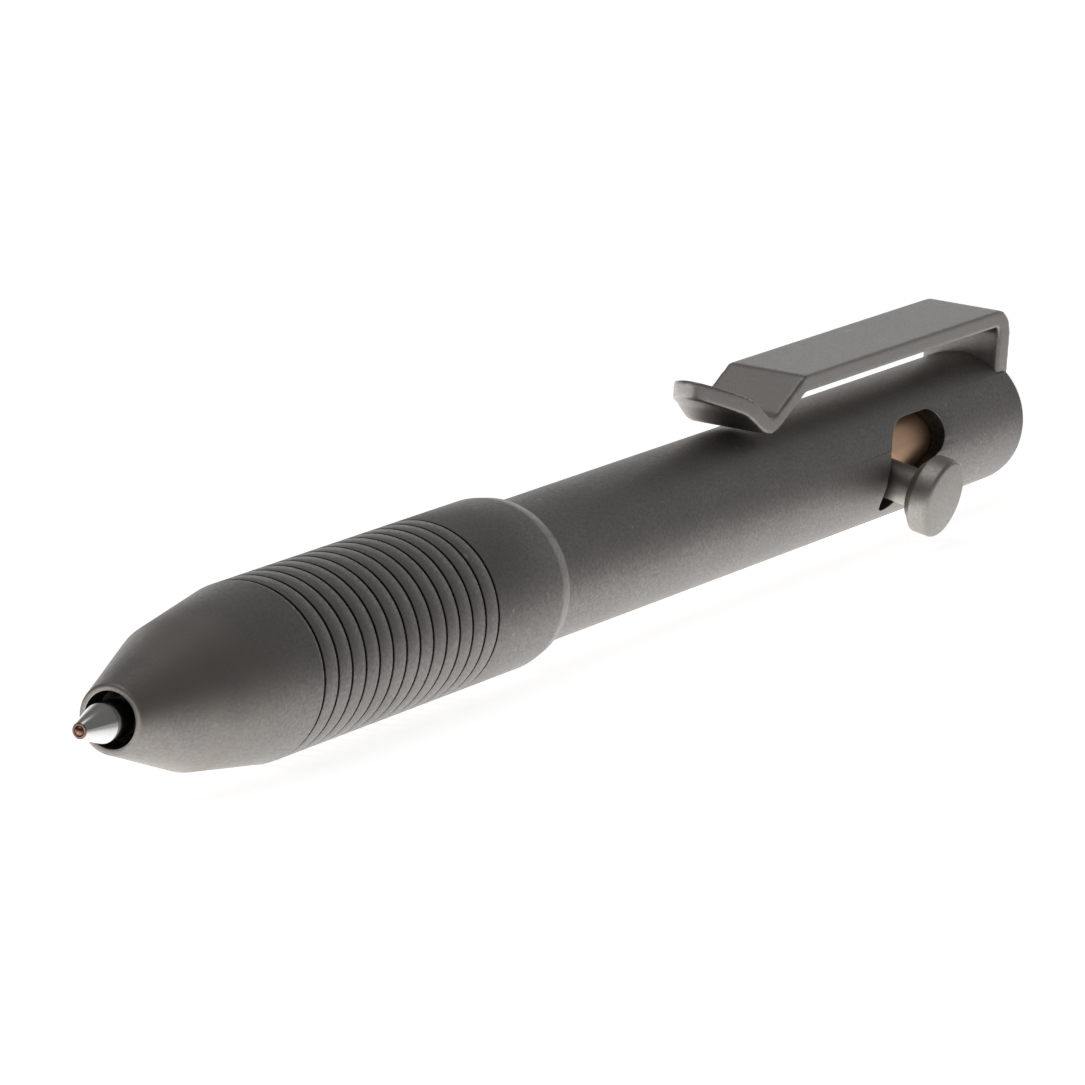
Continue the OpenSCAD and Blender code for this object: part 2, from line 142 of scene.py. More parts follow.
def place(x, radius=0.0, angle=0.0, across=0.0):
    """The point at a distance from the nose face, out of the axis and across it, in the row frame."""
    from_nose = Vector((x, 0, 0)) + outward(angle) * radius + outward(angle + 90) * across
    return Vector((nose_x, 0, 0)) + MM * from_nose


print("grip radius", round(grip_r, 2), "barrel radius", round(barrel_r, 2))
print("clip leans", round(clip_lean, 2), "degrees")

# %% [markdown]
# ## Drawing an outline and turning it
#
# A turned piece is an outline spun round an axis. The outline could be a curve
# with a Screw modifier. Extruding one vertex from corner to corner and spinning
# the result is the same work by hand, and leaves a plain mesh that can be
# bevelled. Everything is deselected first, because an operator acts on all that
# is selected.

# %% Helpers for selecting, drawing and spinning
merge_distance = 0.002 * MM


def deselect_all():
    """Leaves edit mode and selects nothing."""
    if bpy.context.mode != "OBJECT":
        bpy.ops.object.mode_set(mode="OBJECT")
    bpy.ops.object.select_all(action="DESELECT")


def make_active(piece):
    """Selects one piece alone, for the operators that follow."""
    deselect_all()
    piece.select_set(True)
    bpy.context.view_layer.objects.active = piece


def start_outline(name, point):
    """A new mesh with a single vertex, left in edit mode."""
    deselect_all()
    bpy.ops.mesh.primitive_circle_add(vertices=3, radius=MM, location=(0, 0, 0))
    piece = bpy.context.object
    piece.name = name
    piece.data.name = name
    bpy.ops.object.mode_set(mode="EDIT")
    bpy.ops.mesh.select_all(action="SELECT")
    bpy.ops.mesh.merge(type="CENTER")
    bpy.ops.transform.translate(value=point)
    return piece


def draw(points):
    """Extrudes the selected vertex from point to point."""
    for here, there in zip(points, points[1:]):
        bpy.ops.mesh.extrude_vertices_move(TRANSFORM_OT_translate={"value": there - here})


def close_outline():
    """Joins the outline's two ends and fills it."""
    bpy.ops.mesh.select_all(action="SELECT")
    bpy.ops.mesh.edge_face_add()


def turned(name, points, steps, axis=(1, 0, 0), centre=(0, 0, 0)):
    """A closed solid, from an outline that starts and ends on the axis or meets itself."""
    piece = start_outline(name, points[0])
    draw(points)
    bpy.ops.mesh.select_all(action="SELECT")
    bpy.ops.mesh.spin(steps=steps, angle=2 * pi, center=centre, axis=axis)
    bpy.ops.mesh.select_all(action="SELECT")
    bpy.ops.mesh.remove_doubles(threshold=merge_distance)
    bpy.ops.mesh.normals_make_consistent(inside=False)
    bpy.ops.object.mode_set(mode="OBJECT")
    return piece


def arc(middle, radius, start, end, steps):
    """Points of an arc as (x, radius) pairs, with angles in degrees from the x direction."""
    turns = [radians(start + (end - start) * i / steps) for i in range(steps + 1)]
    return [(middle[0] + radius * cos(t), middle[1] + radius * sin(t)) for t in turns]


# %% [markdown]
# ## Rounding edges and finishing a mesh
#
# No machined edge is quite sharp, and a fine round lip is what catches the
# light. The Bevel modifier rounds every edge that is sharper than an angle. It
# can also give the new faces the second material slot, which holds a brighter,
# rubbed version of the metal.

# %% Helpers for modifiers
def apply_modifier(piece, kind, **settings):
    """Adds a modifier with its settings and makes its result the mesh."""
    make_active(piece)
    modifier = piece.modifiers.new(kind.lower(), kind)
    for setting, value in settings.items():
        setattr(modifier, setting, value)
    bpy.ops.object.modifier_apply(modifier=modifier.name)


def round_edges(piece, width, segments=2, sharper_than=30, clamp=True):
    """Rounds the sharp edges, by a width in millimetres, into faces of the second slot."""
    apply_modifier(piece, "BEVEL", width=width * MM, segments=segments, limit_method="ANGLE",
                   angle_limit=radians(sharper_than), use_clamp_overlap=clamp, material=1)


def cut_away(piece, cutter):
    """Takes a cutter's volume out of a piece, and removes the cutter."""
    apply_modifier(piece, "BOOLEAN", operation="DIFFERENCE", object=cutter, solver="EXACT")
    bpy.data.objects.remove(cutter)


def smooth(piece, angle=30):
    """Shades the piece smooth, except over edges that are sharper than an angle."""
    make_active(piece)
    bpy.ops.object.shade_smooth_by_angle(angle=radians(angle))
    print(piece.name, "has", len(piece.data.polygons), "faces")


# %% [markdown]
# ## Worked metal
#
# Tumbled titanium isn't one grey. Fine pits and rubbed specks lie over slow
# patches of warmer and cooler metal, and the roughness changes with them. An
# image texture could hold this. Noise at two sizes does it without one, follows
# the metal round every edge, and reads Object coordinates, so it stays put when
# a piece moves.

# %% Helpers for materials
def add_node(tree, kind, sockets=None, **settings):
    """A shader node with its settings, whose sockets take a value or another node's output."""
    node = tree.nodes.new("ShaderNode" + kind)
    for setting, value in settings.items():
        setattr(node, setting, value)
    for name, value in (sockets or {}).items():
        if isinstance(value, bpy.types.NodeSocket):
            tree.links.new(value, node.inputs[name])
        else:
            node.inputs[name].default_value = value
    return node


def new_material(name):
    """A material with an empty node tree."""
    material = bpy.data.materials.new(name)
    material.use_nodes = True
    material.node_tree.nodes.clear()
    return material


def noise(tree, point, size_mm, detail=3.0, roughness=0.55):
    """Noise whose patches are about size_mm across."""
    return add_node(tree, "TexNoise", {"Vector": point, "Scale": 1 / (size_mm * MM), "Detail": detail,
                                       "Roughness": roughness}).outputs["Fac"]


def between(tree, value, low, high, out_low=0.0, out_high=1.0):
    """Takes a value's range from low to high to another range."""
    return add_node(tree, "MapRange", {"Value": value, "From Min": low, "From Max": high,
                                       "To Min": out_low, "To Max": out_high}).outputs["Result"]


# The Mix node's sockets for colours share their names with those for numbers, so they go by their index
SHARE_IN, FIRST_IN, SECOND_IN, COLOUR_OUT = 0, 6, 7, 2


def mix_colours(tree, share, first, second):
    """The first colour where the share is 0, and the second where it is 1."""
    node = add_node(tree, "Mix", data_type="RGBA")
    for index, value in ((SHARE_IN, share), (FIRST_IN, first), (SECOND_IN, second)):
        if isinstance(value, bpy.types.NodeSocket):
            tree.links.new(value, node.inputs[index])
        else:
            node.inputs[index].default_value = value if index == SHARE_IN else (*value, 1)
    return node.outputs[COLOUR_OUT]


def finish_material(material, shader):
    """Joins a shader to the material's output."""
    add_node(material.node_tree, "OutputMaterial", {"Surface": shader.outputs[0]})
    return material


# Noise seldom leaves the range from low to high, so that is what is stretched to 0 and 1
noise_low, noise_high = 0.3, 0.7
cloud_low, cloud_high = 0.35, 0.6
nick_colour = (0.62, 0.59, 0.55)
nick_start, nick_full, nick_share = 0.68, 0.74, 0.7


def worked_metal(name, light, dark, rough=(0.35, 0.5), speck_mm=0.25, patch_mm=5.0, pit_depth_mm=0.004,
                 streak=None, tint=None, nicks=None):
    """Metal with specks, patches and fine pits. A streak is a scale along each axis, which draws the
    specks out into tool marks. A tint is a second colour and the two distances from the nose face
    between which it fades out. Nicks are small bright marks, and their size in millimetres is also
    about how far apart they lie."""
    material = new_material(name)
    tree = material.node_tree
    point = add_node(tree, "TexCoord").outputs["Object"]
    marks = point
    if streak:
        marks = add_node(tree, "Mapping", {"Vector": point, "Scale": streak}).outputs["Vector"]
    specks = noise(tree, marks, speck_mm, detail=4)
    patches = noise(tree, point, patch_mm, detail=2)
    speck_share = between(tree, specks, noise_low, noise_high)
    patch_share = between(tree, patches, noise_low, noise_high, 0.5, 1)
    share = add_node(tree, "Math", {0: speck_share, 1: patch_share}, operation="MULTIPLY").outputs[0]
    colour = mix_colours(tree, share, dark, light)
    if nicks:
        spots = noise(tree, point, nicks, detail=3, roughness=0.7)
        nicked = between(tree, spots, nick_start, nick_full, 0, nick_share)
        colour = mix_colours(tree, nicked, colour, nick_colour)
    if tint:
        tint_colour, tint_start, tint_end = tint
        along = add_node(tree, "SeparateXYZ", {"Vector": point}).outputs["X"]
        fade = between(tree, along, nose_x + tint_start * MM, nose_x + tint_end * MM, 1, 0)
        clouds = between(tree, patches, cloud_low, cloud_high)
        fade = add_node(tree, "Math", {0: fade, 1: clouds}, operation="MULTIPLY").outputs[0]
        colour = mix_colours(tree, fade, colour, tint_colour)
    roughness = between(tree, specks, noise_low, noise_high, rough[1], rough[0])
    bump = add_node(tree, "Bump", {"Strength": 0.5, "Distance": pit_depth_mm * MM, "Height": specks})
    shader = add_node(tree, "BsdfPrincipled", {"Base Color": colour, "Metallic": 1.0, "Roughness": roughness,
                                               "Normal": bump.outputs["Normal"]})
    return finish_material(material, shader)


# %% [markdown]
# ## The finishes
#
# The barrel and the grip are tumbled titanium, a dark warm grey with fine pits,
# a little browner round the nose. The clip and the knob are the same metal with
# a closer finish. Most rounded edges of grip, barrel and knob have a rubbed
# version, where the dark skin has worn through. Bores, grooves and the slot's
# walls take a near-black copy of the metal. This is painted shade: the dark that
# falls into these hollows is put into their colour.

# %% Titanium
def tumbled_titanium():
    return worked_metal("tumbled_titanium", light=(0.375, 0.355, 0.335), dark=(0.285, 0.270, 0.257),
                        rough=(0.46, 0.60), speck_mm=0.22, patch_mm=4.5, pit_depth_mm=0.005,
                        tint=((0.345, 0.315, 0.288), 6, 15), nicks=1.6)


def rubbed_titanium():
    return worked_metal("rubbed_titanium", light=(0.425, 0.405, 0.382), dark=(0.35, 0.333, 0.313),
                        rough=(0.42, 0.54), speck_mm=0.3, pit_depth_mm=0.003)


def clip_titanium():
    return worked_metal("clip_titanium", light=(0.47, 0.45, 0.42), dark=(0.39, 0.37, 0.345),
                        rough=(0.38, 0.50), speck_mm=0.18, patch_mm=6, pit_depth_mm=0.004, nicks=2.2)


def knob_titanium():
    return worked_metal("knob_titanium", light=(0.50, 0.48, 0.45), dark=(0.42, 0.40, 0.37),
                        rough=(0.40, 0.52), speck_mm=0.2, patch_mm=3, pit_depth_mm=0.004)


# A near-black copy of the titanium, which is painted shade for the bores, the grooves and the slot's walls
def shade_painted_titanium():
    return worked_metal("shade_painted_titanium", light=(0.10, 0.092, 0.086), dark=(0.045, 0.041, 0.039),
                        rough=(0.45, 0.60), speck_mm=0.15, patch_mm=2, pit_depth_mm=0.005)


body_metal, rubbed_metal, shade_painted_metal = tumbled_titanium(), rubbed_titanium(), shade_painted_titanium()
clip_metal, knob_metal = clip_titanium(), knob_titanium()
titanium = (body_metal, rubbed_metal, shade_painted_metal, clip_metal, knob_metal)
print("titanium finishes:", ", ".join(metal.name for metal in titanium))

# %% [markdown]
# The plunger is bare copper, turned and a little dulled. The refill's point is
# polished steel, whose fine turning marks stretch its highlights, and its ball
# carries a film of ink. The rest is inside the pen: a brass neck, a steel tube
# and spring, a plastic crown, ink and a rubber seal.

# %% Copper, steel, brass, plastic, ink and rubber
def plain_surface(name, light, dark, rough, speck_mm, depth_mm, coat=0.0):
    """Plastic, rubber or ink, with a slight mottle and a fine grain."""
    material = new_material(name)
    tree = material.node_tree
    point = add_node(tree, "TexCoord").outputs["Object"]
    grain = noise(tree, point, speck_mm, detail=4)
    colour = mix_colours(tree, between(tree, grain, noise_low, noise_high), dark, light)
    bump = add_node(tree, "Bump", {"Strength": 0.4, "Distance": depth_mm * MM, "Height": grain})
    roughness = between(tree, grain, noise_low, noise_high, rough[0], rough[1])
    shader = add_node(tree, "BsdfPrincipled", {"Base Color": colour, "Normal": bump.outputs["Normal"],
                                               "Roughness": roughness, "Coat Weight": coat})
    return finish_material(material, shader)


# Specks squeezed along the pen run round it, as turning marks. Stretched, they run along a drawn tube.
mark_stretch = 8
turning_marks = (mark_stretch, 1, 1)
drawing_marks = (1 / mark_stretch, 1, 1)
copper = worked_metal("dulled_copper", light=(1.0, 0.69, 0.46), dark=(0.94, 0.61, 0.39), rough=(0.36, 0.50),
                      speck_mm=0.4, patch_mm=2.5, pit_depth_mm=0.003, streak=turning_marks)
point_steel = worked_metal("polished_steel", light=(0.80, 0.79, 0.77), dark=(0.68, 0.67, 0.66),
                           rough=(0.13, 0.22), speck_mm=0.3, patch_mm=2, pit_depth_mm=0.001,
                           streak=turning_marks)
# The point's rim: dark brown steel, partly ink and partly a painted dark reflection of the room that the
# rim's face looks into
ink_and_reflection_steel = worked_metal("ink_and_reflection_steel", light=(0.26, 0.18, 0.15), dark=(0.14, 0.09, 0.07),
                           rough=(0.2, 0.35), speck_mm=0.15, patch_mm=0.5, pit_depth_mm=0.001)
inked_ball = worked_metal("inked_ball", light=(0.42, 0.23, 0.16), dark=(0.16, 0.08, 0.06),
                          rough=(0.15, 0.3), speck_mm=0.15, patch_mm=0.5, pit_depth_mm=0.001)
brass = worked_metal("turned_brass", light=(0.72, 0.57, 0.30), dark=(0.58, 0.43, 0.20), rough=(0.22, 0.36),
                     speck_mm=0.4, pit_depth_mm=0.003, streak=turning_marks)
tube_steel = worked_metal("drawn_steel", light=(0.62, 0.62, 0.63), dark=(0.50, 0.50, 0.52),
                          rough=(0.25, 0.36), speck_mm=0.4, pit_depth_mm=0.002, streak=drawing_marks)
spring_steel = worked_metal("spring_wire", light=(0.60, 0.60, 0.61), dark=(0.46, 0.46, 0.48),
                            rough=(0.22, 0.34), speck_mm=0.2, pit_depth_mm=0.002)
screw_steel = worked_metal("blasted_screw", light=(0.46, 0.45, 0.44), dark=(0.33, 0.32, 0.32),
                           rough=(0.3, 0.45), speck_mm=0.12, patch_mm=1.5, pit_depth_mm=0.004)
crown_plastic = plain_surface("crown_plastic", light=(0.045, 0.045, 0.05), dark=(0.03, 0.03, 0.034),
                              rough=(0.4, 0.55), speck_mm=0.3, depth_mm=0.006)
ink = plain_surface("ink", light=(0.012, 0.016, 0.06), dark=(0.008, 0.010, 0.04), rough=(0.08, 0.14),
                    speck_mm=2.0, depth_mm=0.002, coat=0.5)
seal_rubber = plain_surface("seal_rubber", light=(0.03, 0.03, 0.03), dark=(0.018, 0.018, 0.018),
                            rough=(0.6, 0.75), speck_mm=0.2, depth_mm=0.008)
print(len(bpy.data.materials), "materials")

# %% [markdown]
# ## The grip section
#
# One turned piece: a short nose, a steep cone, a shallow cone and a full grip
# with fourteen fine grooves, then the threaded spigot that the barrel screws
# onto, and the bore for the refill and its spring. It is drawn as one closed
# outline, outside and inside, and spun. Grooves could be bump in the material,
# but their dark floors and bright lips are real shape, so they are cut here.

# %% Grip section
spin_steps = 160
nose_cone_len, nose_cone_r = 7.75, 4.82
nose_ring_r, nose_edge_r, nose_edge_steps = 2.3, 0.25, 4
grip_front = 15.6
rear_chamfer_len, rear_chamfer_drop = 1.3, 0.2
groove_count, groove_pitch, groove_w, groove_depth, groove_inset = 14, 1.722, 0.28, 0.35, 0.42
nose_recess_r, nose_recess_depth, recess_floor_slope = 1.83, 1.8, 0.2
guide_r, spring_seat, spring_room_r = 1.33, 4.5, 2.65
refill_bore_r, shoulder_x, chamber_room = 3.2, 12.5, 0.5
thread_crest, thread_root, thread_pitch, thread_turns = 4.2, 3.9, 0.75, 7
seal_land, seal_groove_w, seal_floor_r, seal_neck_len = 0.5, 0.9, 3.63, 2
spigot_len, thread_lead = 8, 0.2
edge_width = 0.05


def thread_outline(crest, root):
    """The thread's zigzag, from its root to its crest and back at each turn."""
    points = []
    for turn in range(thread_turns):
        start = grip_end + seal_neck_len + turn * thread_pitch
        points += [(start, root), (start + thread_pitch / 2, crest)]
    return points + [(grip_end + seal_neck_len + thread_turns * thread_pitch, root)]


def grip_outline():
    """The grip's outline as (distance from the nose face, radius): outside, then back along the bore."""
    ring_start = nose_ring_r - nose_edge_r
    outer = arc((nose_edge_r, ring_start), nose_edge_r, 180, 90, nose_edge_steps)
    outer += [(nose_cone_len, nose_cone_r), (grip_front, grip_r)]
    for groove in range(groove_count):
        middle = grip_front + groove_inset + groove * groove_pitch
        front, back = middle - groove_w / 2, middle + groove_w / 2
        floor_r = grip_r - groove_depth
        outer += [(front, grip_r), (front, floor_r), (back, floor_r), (back, grip_r)]
    outer += [(grip_end - rear_chamfer_len, grip_r), (grip_end, grip_r - rear_chamfer_drop)]
    land = grip_end + seal_land
    spigot = [(grip_end, thread_crest), (land, thread_crest), (land, seal_floor_r),
              (land + seal_groove_w, seal_floor_r), (land + seal_groove_w, thread_root)]
    spigot += thread_outline(thread_crest, thread_root)
    spigot_end = grip_end + spigot_len
    spigot += [(spigot_end - thread_lead, thread_root), (spigot_end, thread_root - thread_lead)]
    chamber = shoulder_x - chamber_room
    inner = [(spigot_end, refill_bore_r), (chamber, refill_bore_r), (chamber, spring_room_r),
             (spring_seat, spring_room_r), (spring_seat, guide_r),
             (nose_recess_depth + recess_floor_slope, guide_r),
             (nose_recess_depth, nose_recess_r), (0, nose_recess_r), (0, ring_start)]
    return outer + spigot + inner


def finish_faces(piece, choose):
    """Gives each face the material slot that a rule picks from its distance along the pen and from the axis,
    or leaves it where the rule gives nothing."""
    changed = 0
    for face in piece.data.polygons:
        x, radius = (face.center.x - nose_x) / MM, hypot(face.center.y, face.center.z) / MM
        slot = choose(x, radius)
        if slot is not None:
            face.material_index = slot
            changed += 1
    print(piece.name, "takes another finish on", changed, "faces")


# The third slot of grip and barrel holds painted shade
BODY, RUBBED, PAINTED_SHADE = 0, 1, 2
shade_depth = 0.06


def grip_finish(x, radius):
    """Rubbed on the rear chamfer, painted shade in the nose and the grooves, and plain between the grooves.
    """
    by_chamfer = grip_end - rear_chamfer_len < x < grip_end
    on_chamfer = by_chamfer and radius > grip_r - rear_chamfer_drop - edge_width
    in_grooves = grip_front < x < grip_front + groove_count * groove_pitch
    in_nose = radius < nose_recess_r + shade_depth / 2
    if on_chamfer:
        return RUBBED
    # Painted shade in the nose recess and on the groove floors and walls
    if in_nose or in_grooves and radius < grip_r - shade_depth:
        return PAINTED_SHADE
    if in_grooves:
        return BODY


grip = turned("turned_grip", [place(x, r) for x, r in grip_outline()], spin_steps)
for metal in (body_metal, rubbed_metal, shade_painted_metal):
    grip.data.materials.append(metal)
round_edges(grip, edge_width, segments=2, sharper_than=25)
finish_faces(grip, grip_finish)
smooth(grip, 25)
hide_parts("grip_section")
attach(grip, "root")

# %% [markdown]
# ## The barrel
#
# The barrel is a tube, so it is turned first, with its thread inside and its
# round tail edge. The slot for the bolt and the seat for the clip's foot are
# then milled: cutters are taken away with a Boolean modifier. The slot starts at
# the bolt's lock and bends into a straight run along the pen, and a slanting way,
# just wide enough for the bolt's stem, joins the two. One curved cutter would be
# hard to close, so pairs of round posts are wrapped in a hull and cut away one
# after another, as a mill moves on. The spin starts half a step off the slot's
# long edge, which so runs down the middle of a facet and is cut clean.

# %% Barrel turned
bore_r, bore_end, tail_edge_r, tail_edge_steps = 3.8, 114.0, 0.8, 6
mouth_edge, fit_gap, spigot_room = 0.15, 0.05, 0.5
# Rings along the tube, which keep its facets short
barrel_rings = range(60, 120, 10)


def barrel_outline():
    """The barrel's outline as (distance from the nose face, radius): outside, then back inside."""
    root, crest = thread_root + fit_gap, thread_crest + fit_gap
    mouth_end = grip_end + seal_land + seal_groove_w + fit_gap
    thread_end = grip_end + spigot_len + spigot_room
    outer = [(grip_end, crest), (grip_end, barrel_r - mouth_edge), (grip_end + mouth_edge, barrel_r)]
    outer += [(x, barrel_r) for x in barrel_rings]
    outer += arc((tail_x - tail_edge_r, barrel_r - tail_edge_r), tail_edge_r, 90, 0, tail_edge_steps)
    inner = [(tail_x, 0), (bore_end, 0), (bore_end, bore_r), (thread_end, bore_r), (thread_end, root)]
    mouth = [(mouth_end, root), (mouth_end, crest), (grip_end, crest)]
    return outer + inner + thread_outline(crest, root)[::-1] + mouth


stem_r, slot_gap = 1.43, 0.22
slot_r = stem_r + slot_gap
slot_top_angle = slot_run_angle - degrees(asin(slot_r / barrel_r))
half_step = 180 / spin_steps
seam_angle = slot_top_angle + half_step
barrel = turned("turned_barrel", [place(x, r, seam_angle) for x, r in barrel_outline()], spin_steps)
for metal in (body_metal, rubbed_metal, shade_painted_metal):
    barrel.data.materials.append(metal)

# %% Cutters for the slot
passage_gap, slot_overrun = 0.12, 9
slot_front, slot_rear = stem_x - slot_gap, stem_x + stroke
slot_end_angle = lock_angle + slot_overrun
bore_overrun, skin_overrun = 1, 0.5
cut_inside, cut_outside = bore_r - bore_overrun, barrel_r + skin_overrun
round_steps = 64


def radial_post(name, x, angle, radius):
    """A cylinder through the barrel's wall that points out of the pen's axis."""
    deselect_all()
    direction = outward(angle)
    bpy.ops.mesh.primitive_cylinder_add(vertices=round_steps, radius=radius * MM,
                                        depth=(cut_outside - cut_inside) * MM,
                                        location=place(x, (cut_inside + cut_outside) / 2, angle),
                                        rotation=direction.to_track_quat("Z", "Y").to_euler())
    post = bpy.context.object
    post.name = name
    bpy.ops.object.transform_apply(location=True, rotation=True, scale=True)
    return post


def block(name, corners_x, corners_across, corners_out, angle):
    """A box along the pen, across it and out of its axis at a turn from the clip."""
    deselect_all()
    bpy.ops.mesh.primitive_cube_add(size=1, location=(0, 0, 0))
    box = bpy.context.object
    box.name = name
    lengths = [(high - low) * MM for low, high in (corners_x, corners_across, corners_out)]
    middle = place(sum(corners_x) / 2, sum(corners_out) / 2, angle, sum(corners_across) / 2)
    turn = Matrix((Vector((1, 0, 0)), outward(angle + 90), outward(angle))).transposed().to_4x4()
    box.matrix_world = Matrix.Translation(middle) @ turn @ Matrix.Diagonal((*lengths, 1))
    bpy.ops.object.transform_apply(location=True, rotation=True, scale=True)
    bpy.ops.object.mode_set(mode="EDIT")
    bpy.ops.mesh.select_all(action="SELECT")
    bpy.ops.mesh.normals_make_consistent(inside=False)
    bpy.ops.object.mode_set(mode="OBJECT")
    return box


def wrap(name, first, second):
    """The convex hull of two pieces."""
    make_active(first)
    second.select_set(True)
    bpy.ops.object.join()
    first.name = name
    bpy.ops.object.mode_set(mode="EDIT")
    bpy.ops.mesh.select_all(action="SELECT")
    bpy.ops.mesh.convex_hull()
    bpy.ops.mesh.select_all(action="SELECT")
    bpy.ops.mesh.normals_make_consistent(inside=False)
    bpy.ops.object.mode_set(mode="OBJECT")
    return first


bend_steps = 8
bend_path_r = radians(lock_angle - slot_run_angle) * barrel_r


def bend_post(step):
    """A post on the arc that the slot follows from the lock to its straight run."""
    turn = pi / 2 * step / bend_steps
    return radial_post("slot_bend", slot_front + bend_path_r * (1 - cos(turn)),
                       lock_angle - degrees(bend_path_r * sin(turn) / barrel_r), slot_r)


for step in range(bend_steps):
    cut_away(barrel, wrap("slot_bend", bend_post(step), bend_post(step + 1)))
cut_away(barrel, wrap("slot_run", bend_post(bend_steps),
                      radial_post("slot_run_rear", slot_rear, slot_run_angle, slot_r)))
cut_away(barrel, wrap("slot_lock", bend_post(0),
                      radial_post("slot_leg_end", slot_front, slot_end_angle, slot_r)))
passage_r = stem_r + passage_gap
cut_away(barrel, wrap("slot_slant", radial_post("slant_lock", stem_x, lock_angle, passage_r),
                      radial_post("slant_run", slot_rear, slot_run_angle, passage_r)))
print("barrel with its slot:", len(barrel.data.polygons), "faces")

# %% Seat for the clip and hole for its screw
clip_w, clip_t, clip_leg_t = 6.2, 1.25, 1.9
clip_screw_r, clip_screw_len, tap_room = 1, 5, 0.5
leg_x = tail_x - clip_leg_t
seat_w = clip_w + 2 * fit_gap
# How far a cutter or a blank reaches past the face where it ends
past = 0.5


def axial_post(name, start_x, end_x, radius):
    """A cylinder along the pen's axis."""
    deselect_all()
    bpy.ops.mesh.primitive_cylinder_add(vertices=round_steps, radius=radius * MM,
                                        depth=(end_x - start_x) * MM,
                                        location=place((start_x + end_x) / 2), rotation=(0, pi / 2, 0))
    post = bpy.context.object
    post.name = name
    bpy.ops.object.transform_apply(location=True, rotation=True, scale=True)
    return post


cut_away(barrel, block("clip_notch", (leg_x, tail_x + past), (-seat_w / 2, seat_w / 2),
                       (0, barrel_r + past), 0))
cut_away(barrel, axial_post("clip_foot_seat", leg_x, tail_x + past, seat_w / 2))
tap_end = tail_x - clip_screw_len - tap_room
cut_away(barrel, axial_post("clip_screw_hole", tap_end, tail_x, clip_screw_r + fit_gap))

# %% Lips of the slot and the seat
sliver_mm = 0.012
make_active(barrel)
bpy.ops.object.mode_set(mode="EDIT")
bpy.ops.mesh.select_all(action="SELECT")
bpy.ops.mesh.remove_doubles(threshold=sliver_mm * MM)
bpy.ops.object.mode_set(mode="OBJECT")
lip_width = 0.07
round_edges(barrel, lip_width, segments=2, sharper_than=40, clamp=False)


def barrel_finish(x, radius):
    """Painted shade in the bore and on the slot's walls, short of the tail."""
    # The bore and the slot's walls are painted in shade
    if x < leg_x - past and radius < barrel_r - lip_width - shade_depth:
        return PAINTED_SHADE


finish_faces(barrel, barrel_finish)
smooth(barrel, 25)
apply_modifier(barrel, "WEIGHTED_NORMAL", keep_sharp=True)
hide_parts("barrel")
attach(barrel, "root")

# %% [markdown]
# ## The clip
#
# The clip is one bent strip of titanium: a leg that stands in the tail's notch, a
# flat arm, a ramp down to the low point that grips a pocket, and a turned-up lip
# with a round end. A ribbon with a Solidify modifier would give one thickness, but
# the leg is thicker than the arm. So the side view is drawn as an outline, with
# an arc at each bend, and extruded across, then cut to its plan. Its rims are
# rounded last. A Bevel modifier trips over the short edges at the bends, so the
# clip is remeshed into small even faces, and smoothing these wears the rims round.

# %% Clip outline
clip_top, clip_reach, clip_ramp, clip_lip, clip_nip = 8.6, 33.6, 5.1, 7, 0.15
clip_bend_r, clip_low_bend_r, clip_corner_r = 0.6, 1.7, 2.2
lip_end, lip_slope, lip_end_slope, lip_bend_r = 3.6, 34, 20, 4
low_point_rounds = 6


def left_of(way):
    """A direction in the side view, turned a quarter to the left."""
    return Vector((-way.y, way.x))


def mitre(before, corner, after, thickness):
    """The corner moved out by the thickness on the left."""
    first = left_of(corner - before).normalized()
    second = left_of(after - corner).normalized()
    return corner + thickness * (first + second) / (1 + first.dot(second))


def bend(before, corner, after, radius, steps=8):
    """Points of an arc that rounds a corner."""
    first, second = (before - corner).normalized(), (after - corner).normalized()
    half = acos(first.dot(second)) / 2
    middle = corner + (first + second).normalized() * radius / sin(half)
    start = corner + first * radius / tan(half) - middle
    side = 1 if first.x * second.y - first.y * second.x > 0 else -1
    points = []
    for i in range(steps + 1):
        turn = -side * (pi - 2 * half) * i / steps
        points.append(middle + Vector((start.x * cos(turn) - start.y * sin(turn),
                                       start.x * sin(turn) + start.y * cos(turn))))
    return points


def clip_outline():
    """The clip's side view as (distance from the nose face, height over the axis)."""
    under = clip_top - clip_t
    front = Vector((tail_x - clip_reach, under))
    low_y = barrel_r + clip_nip
    low_r = clip_low_bend_r + clip_t
    corner_y = low_y
    # The sharp corner lies below the bend that rounds it, so its height is guessed closer in a few rounds
    for _ in range(low_point_rounds):
        low_turn = radians(lip_slope) + atan((under - corner_y) / clip_ramp)
        corner_y = low_y - low_r * (1 / cos(low_turn / 2) - 1)
    low = Vector((front.x - clip_ramp, corner_y))
    lip_mid = low + (clip_lip - lip_end) * Vector((-1, tan(radians(lip_slope))))
    lip_tip = lip_mid + (lip_end + past) * Vector((-1, tan(radians(lip_end_slope))))
    leg_under, foot = Vector((leg_x, under)), Vector((leg_x, 0))
    heel, shoulder = Vector((tail_x, 0)), Vector((tail_x, clip_top))
    front_top = mitre(low, front, leg_under, clip_t)
    low_top = mitre(lip_mid, low, front, clip_t)
    lip_mid_top = mitre(lip_tip, lip_mid, low, clip_t)
    lip_tip_top = lip_tip + clip_t * left_of(lip_mid - lip_tip).normalized()
    points = [lip_tip]
    points += bend(lip_tip, lip_mid, low, lip_bend_r)
    points += bend(lip_mid, low, front, low_r)
    points += bend(low, front, leg_under, clip_bend_r)
    points += bend(front, leg_under, foot, clip_bend_r)
    points += [foot, heel]
    points += bend(heel, shoulder, front_top, clip_corner_r)
    points += bend(shoulder, front_top, low_top, clip_bend_r)
    points += bend(front_top, low_top, lip_mid_top, clip_low_bend_r)
    points += bend(low_top, lip_mid_top, lip_tip_top, lip_bend_r + clip_t)
    return points + [lip_tip_top]


side_view = clip_outline()
print("clip outline:", len(side_view), "points, lip tip at", [round(v, 2) for v in side_view[0]])

